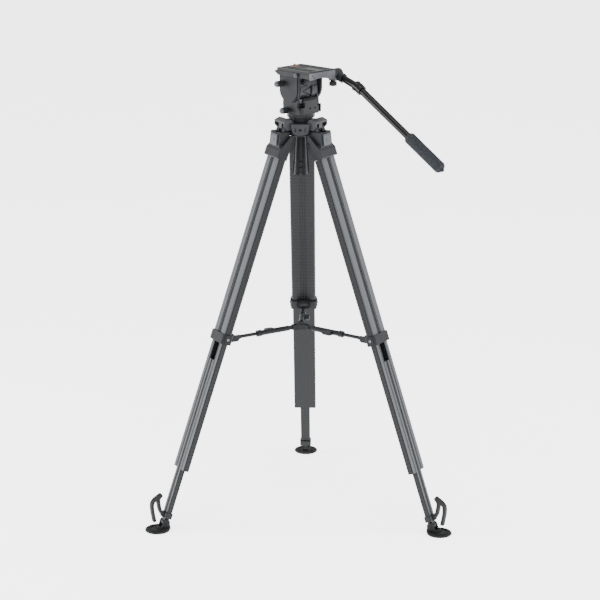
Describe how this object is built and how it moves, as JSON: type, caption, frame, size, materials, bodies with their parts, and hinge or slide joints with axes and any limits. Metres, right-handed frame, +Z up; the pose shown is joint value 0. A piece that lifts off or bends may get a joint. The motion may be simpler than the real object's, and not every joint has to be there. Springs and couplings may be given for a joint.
{
  "type": "video tripod with fluid head",
  "caption": "Three-leg two-stage tripod with 75 mm bowl, mid-level spreader, pivoting rubber feet and a fluid head with sliding camera plate and cranked pan bar.",
  "frame": {"origin": "on the floor, under the middle of the whole part's bounding box", "axes": "+Z up, +Y towards the rear leg; the head is panned so the camera looks to the back left and the pan bar points to the front right"},
  "size_m": [0.7636, 0.6774, 1.139],
  "materials": {
    "casting": "satin grey cast magnesium",
    "moulding": "fine matt glass-filled nylon",
    "pale_moulding": "satin light grey moulding",
    "carbon": "clear-coated woven carbon fibre",
    "satin_metal": "satin anodised",
    "dark_metal": "satin black coated alloy",
    "rubber": "matt",
    "foam": "closed-cell foam grip",
    "brass": "plated"
  },
  "bodies": {
    "crown": {"bowl_casting": "casting", "head_base": "dark_metal"},
    "clamp_handle": {"tie_down_handle": "moulding"},
    "pan_unit": {"pan_body": "dark_metal"},
    "tilt_unit": {"tilt_core": "casting", "tilt_platform": "dark_metal", "rear_bracket": "satin_metal", "side_cover_left": "moulding", "side_cover_right": "moulding"},
    "plate_unit": {"camera_plate": "dark_metal"},
    "screw_unit": {"camera_screw": "brass"},
    "tilt_lock": {"tilt_lock_knob": "moulding"},
    "pan_lock": {"pan_lock_knob": "moulding"},
    "plate_release": {"plate_release_knob": "pale_moulding"},
    "drag_dial": {"drag_knob": "moulding"},
    "pan_bar": {"bar_clamp": "moulding", "bar_elbow": "dark_metal", "bar_tube": "dark_metal", "bar_grip": "foam"},
    "pan_bar_lock": {"bar_clamp_knob": "rubber"},
    "leg_rear": {"leg_housing_rear": "moulding", "outer_rail_a_rear": "carbon", "outer_rail_b_rear": "carbon", "leg_collar_rear": "moulding"},
    "brake_rear": {"brake_lever_rear": "moulding"},
    "latch_rear": {"angle_latch_rear": "pale_moulding"},
    "middle_rear": {"middle_stage_rear": "carbon"},
    "lower_rear": {"lower_stage_rear": "carbon", "foot_strap_rear": "rubber"},
    "pad_rear": {"foot_pad_rear": "rubber"},
    "rod_rear": {"spreader_rod_rear": "dark_metal"},
    "sleeve_rear": {"spreader_sleeve_rear": "moulding", "spreader_hub": "moulding"},
    "arm_lock_rear": {"arm_lever_rear": "moulding"},
    "leg_left": {"leg_housing_left": "moulding", "outer_rail_a_left": "carbon", "outer_rail_b_left": "carbon", "leg_collar_left": "moulding"},
    "brake_left": {"brake_lever_left": "moulding"},
    "latch_left": {"angle_latch_left": "pale_moulding"},
    "middle_left": {"middle_stage_left": "carbon"},
    "lower_left": {"lower_stage_left": "carbon", "foot_strap_left": "rubber"},
    "pad_left": {"foot_pad_left": "rubber"},
    "rod_left": {"spreader_rod_left": "dark_metal"},
    "sleeve_left": {"spreader_sleeve_left": "moulding"},
    "arm_lock_left": {"arm_lever_left": "moulding"},
    "leg_right": {"leg_housing_right": "moulding", "outer_rail_a_right": "carbon", "outer_rail_b_right": "carbon", "leg_collar_right": "moulding"},
    "brake_right": {"brake_lever_right": "moulding"},
    "latch_right": {"angle_latch_right": "pale_moulding"},
    "middle_right": {"middle_stage_right": "carbon"},
    "lower_right": {"lower_stage_right": "carbon", "foot_strap_right": "rubber"},
    "pad_right": {"foot_pad_right": "rubber"},
    "rod_right": {"spreader_rod_right": "dark_metal"},
    "sleeve_right": {"spreader_sleeve_right": "moulding"},
    "arm_lock_right": {"arm_lever_right": "moulding"}
  },
  "joints": [
    {"name": "leg_spread_rear", "type": "hinge", "parent": "crown", "child": "leg_rear", "pos_m": [0, -0.04842, 0.98779], "axis": [1, 0, 0], "range_deg": [-5, 3]},
    {"name": "middle_slide_rear", "type": "slide", "parent": "leg_rear", "child": "middle_rear", "axis": [0, 0.3338, -0.9426], "range_m": [-0.27, 0.05]},
    {"name": "lower_slide_rear", "type": "slide", "parent": "middle_rear", "child": "lower_rear", "axis": [0, 0.3338, -0.9426], "range_m": [-0.11, 0.18]},
    {"name": "foot_tilt_rear", "type": "hinge", "parent": "lower_rear", "child": "pad_rear", "pos_m": [0, 0.28775, 0.0184], "axis": [-1, 0, 0], "range_deg": [-8, 12]},
    {"name": "brake_open_rear", "type": "hinge", "parent": "leg_rear", "child": "brake_rear", "pos_m": [0, -0.05438, 0.96446], "axis": [1, 0, 0], "range_deg": [0, 50]},
    {"name": "latch_open_rear", "type": "hinge", "parent": "leg_rear", "child": "latch_rear", "pos_m": [0, -0.02114, 0.94759], "axis": [-1, 0, 0], "range_deg": [0, 10]},
    {"name": "arm_swing_rear", "type": "hinge", "parent": "leg_rear", "child": "rod_rear", "pos_m": [0, 0.08925, 0.4711], "axis": [1, 0, 0], "range_deg": [-3.1, 5.1]},
    {"name": "arm_slide_rear", "type": "slide", "parent": "rod_rear", "child": "sleeve_rear", "axis": [0, -0.9996, 0.0279], "range_m": [-0.0465, 0.0285]},
    {"name": "arm_lock_open_rear", "type": "hinge", "parent": "sleeve_rear", "child": "arm_lock_rear", "pos_m": [0.012, -0.00272, 0.47367], "axis": [0, 0.0279, 0.9996], "range_deg": [0, 60]},
    {"name": "leg_spread_left", "type": "hinge", "parent": "crown", "child": "leg_left", "pos_m": [-0.04244, -0.12192, 0.98779], "axis": [-0.5, 0.866, 0], "range_deg": [-5, 3]},
    {"name": "middle_slide_left", "type": "slide", "parent": "leg_left", "child": "middle_left", "axis": [-0.2891, -0.1669, -0.9426], "range_m": [-0.27, 0.05]},
    {"name": "lower_slide_left", "type": "slide", "parent": "middle_left", "child": "lower_left", "axis": [-0.2891, -0.1669, -0.9426], "range_m": [-0.11, 0.18]},
    {"name": "foot_tilt_left", "type": "hinge", "parent": "lower_left", "child": "pad_left", "pos_m": [-0.33357, -0.29001, 0.0184], "axis": [0.5, -0.866, 0], "range_deg": [-8, 12]},
    {"name": "brake_open_left", "type": "hinge", "parent": "leg_left", "child": "brake_left", "pos_m": [-0.03728, -0.11895, 0.96446], "axis": [-0.5, 0.866, 0], "range_deg": [0, 50]},
    {"name": "latch_open_left", "type": "hinge", "parent": "leg_left", "child": "latch_left", "pos_m": [-0.06606, -0.13556, 0.94759], "axis": [0.5, -0.866, 0], "range_deg": [0, 10]},
    {"name": "arm_swing_left", "type": "hinge", "parent": "leg_left", "child": "rod_left", "pos_m": [-0.16166, -0.19076, 0.4711], "axis": [-0.5, 0.866, 0], "range_deg": [-3.1, 5.1]},
    {"name": "arm_slide_left", "type": "slide", "parent": "rod_left", "child": "sleeve_left", "axis": [0.8657, 0.4998, 0.0279], "range_m": [-0.0465, 0.0285]},
    {"name": "arm_lock_open_left", "type": "hinge", "parent": "sleeve_left", "child": "arm_lock_left", "pos_m": [-0.08802, -0.13438, 0.47367], "axis": [-0.0242, -0.014, 0.9996], "range_deg": [0, 60]},
    {"name": "leg_spread_right", "type": "hinge", "parent": "crown", "child": "leg_right", "pos_m": [0.04244, -0.12192, 0.98779], "axis": [-0.5, -0.866, 0], "range_deg": [-5, 3]},
    {"name": "middle_slide_right", "type": "slide", "parent": "leg_right", "child": "middle_right", "axis": [0.2891, -0.1669, -0.9426], "range_m": [-0.27, 0.05]},
    {"name": "lower_slide_right", "type": "slide", "parent": "middle_right", "child": "lower_right", "axis": [0.2891, -0.1669, -0.9426], "range_m": [-0.11, 0.18]},
    {"name": "foot_tilt_right", "type": "hinge", "parent": "lower_right", "child": "pad_right", "pos_m": [0.33357, -0.29001, 0.0184], "axis": [0.5, 0.866, 0], "range_deg": [-8, 12]},
    {"name": "brake_open_right", "type": "hinge", "parent": "leg_right", "child": "brake_right", "pos_m": [0.03728, -0.11895, 0.96446], "axis": [-0.5, -0.866, 0], "range_deg": [0, 50]},
    {"name": "latch_open_right", "type": "hinge", "parent": "leg_right", "child": "latch_right", "pos_m": [0.06606, -0.13556, 0.94759], "axis": [0.5, 0.866, 0], "range_deg": [0, 10]},
    {"name": "arm_swing_right", "type": "hinge", "parent": "leg_right", "child": "rod_right", "pos_m": [0.16166, -0.19076, 0.4711], "axis": [-0.5, -0.866, 0], "range_deg": [-3.1, 5.1]},
    {"name": "arm_slide_right", "type": "slide", "parent": "rod_right", "child": "sleeve_right", "axis": [-0.8657, 0.4998, 0.0279], "range_m": [-0.0465, 0.0285]},
    {"name": "arm_lock_open_right", "type": "hinge", "parent": "sleeve_right", "child": "arm_lock_right", "pos_m": [0.07602, -0.15517, 0.47367], "axis": [0.0242, -0.014, 0.9996], "range_deg": [0, 60]},
    {"name": "pan", "type": "hinge", "parent": "crown", "child": "pan_unit", "pos_m": [0, -0.09742, 1.02129], "axis": [0, 0, 1], "continuous": true},
    {"name": "tilt", "type": "hinge", "parent": "pan_unit", "child": "tilt_unit", "pos_m": [0, -0.09742, 1.08179], "axis": [-0.682, -0.7314, 0], "range_deg": [-30, 60]},
    {"name": "plate_slide", "type": "slide", "parent": "tilt_unit", "child": "plate_unit", "axis": [-0.7314, 0.682, 0], "range_m": [0, 0.04]},
    {"name": "screw_turn", "type": "hinge", "parent": "plate_unit", "child": "screw_unit", "pos_m": [-0.01609, -0.08242, 1.13279], "axis": [0, 0, 1], "continuous": true},
    {"name": "tilt_lock_turn", "type": "hinge", "parent": "tilt_unit", "child": "tilt_lock", "pos_m": [-0.04265, -0.11823, 1.09679], "axis": [-0.682, -0.7314, 0], "continuous": true},
    {"name": "pan_lock_turn", "type": "hinge", "parent": "pan_unit", "child": "pan_lock", "pos_m": [-0.0328, -0.11647, 1.03029], "axis": [-0.682, -0.7314, 0], "continuous": true},
    {"name": "plate_release_turn", "type": "hinge", "parent": "tilt_unit", "child": "plate_release", "pos_m": [-0.00827, -0.15028, 1.12079], "axis": [-0.682, -0.7314, 0], "continuous": true},
    {"name": "drag_turn", "type": "hinge", "parent": "tilt_unit", "child": "drag_dial", "pos_m": [0.00696, -0.12853, 1.10179], "axis": [0.7314, -0.682, 0], "range_deg": [-135, 135]},
    {"name": "bar_angle", "type": "hinge", "parent": "tilt_unit", "child": "pan_bar", "pos_m": [0.08621, -0.09441, 1.11579], "axis": [-0.682, -0.7314, 0], "range_deg": [-10, 60]},
    {"name": "bar_lock_turn", "type": "hinge", "parent": "pan_bar", "child": "pan_bar_lock", "pos_m": [0.07822, -0.08832, 1.09849], "axis": [0, 0, -1], "continuous": true},
    {"name": "clamp_turn", "type": "hinge", "parent": "crown", "child": "clamp_handle", "pos_m": [0, -0.09742, 0.91779], "axis": [0, 0, 1], "continuous": true}
  ],
  "couplings": [
    {"joint": "arm_swing_rear", "follows": "leg_spread_rear", "ratio": -1},
    {"joint": "arm_slide_rear", "follows": "leg_spread_rear", "m_per_rad": 0.5202},
    {"joint": "leg_spread_left", "follows": "leg_spread_rear", "ratio": 1},
    {"joint": "arm_swing_left", "follows": "leg_spread_rear", "ratio": -1},
    {"joint": "arm_slide_left", "follows": "leg_spread_rear", "m_per_rad": 0.5202},
    {"joint": "leg_spread_right", "follows": "leg_spread_rear", "ratio": 1},
    {"joint": "arm_swing_right", "follows": "leg_spread_rear", "ratio": -1},
    {"joint": "arm_slide_right", "follows": "leg_spread_rear", "m_per_rad": 0.5202}
  ]
}
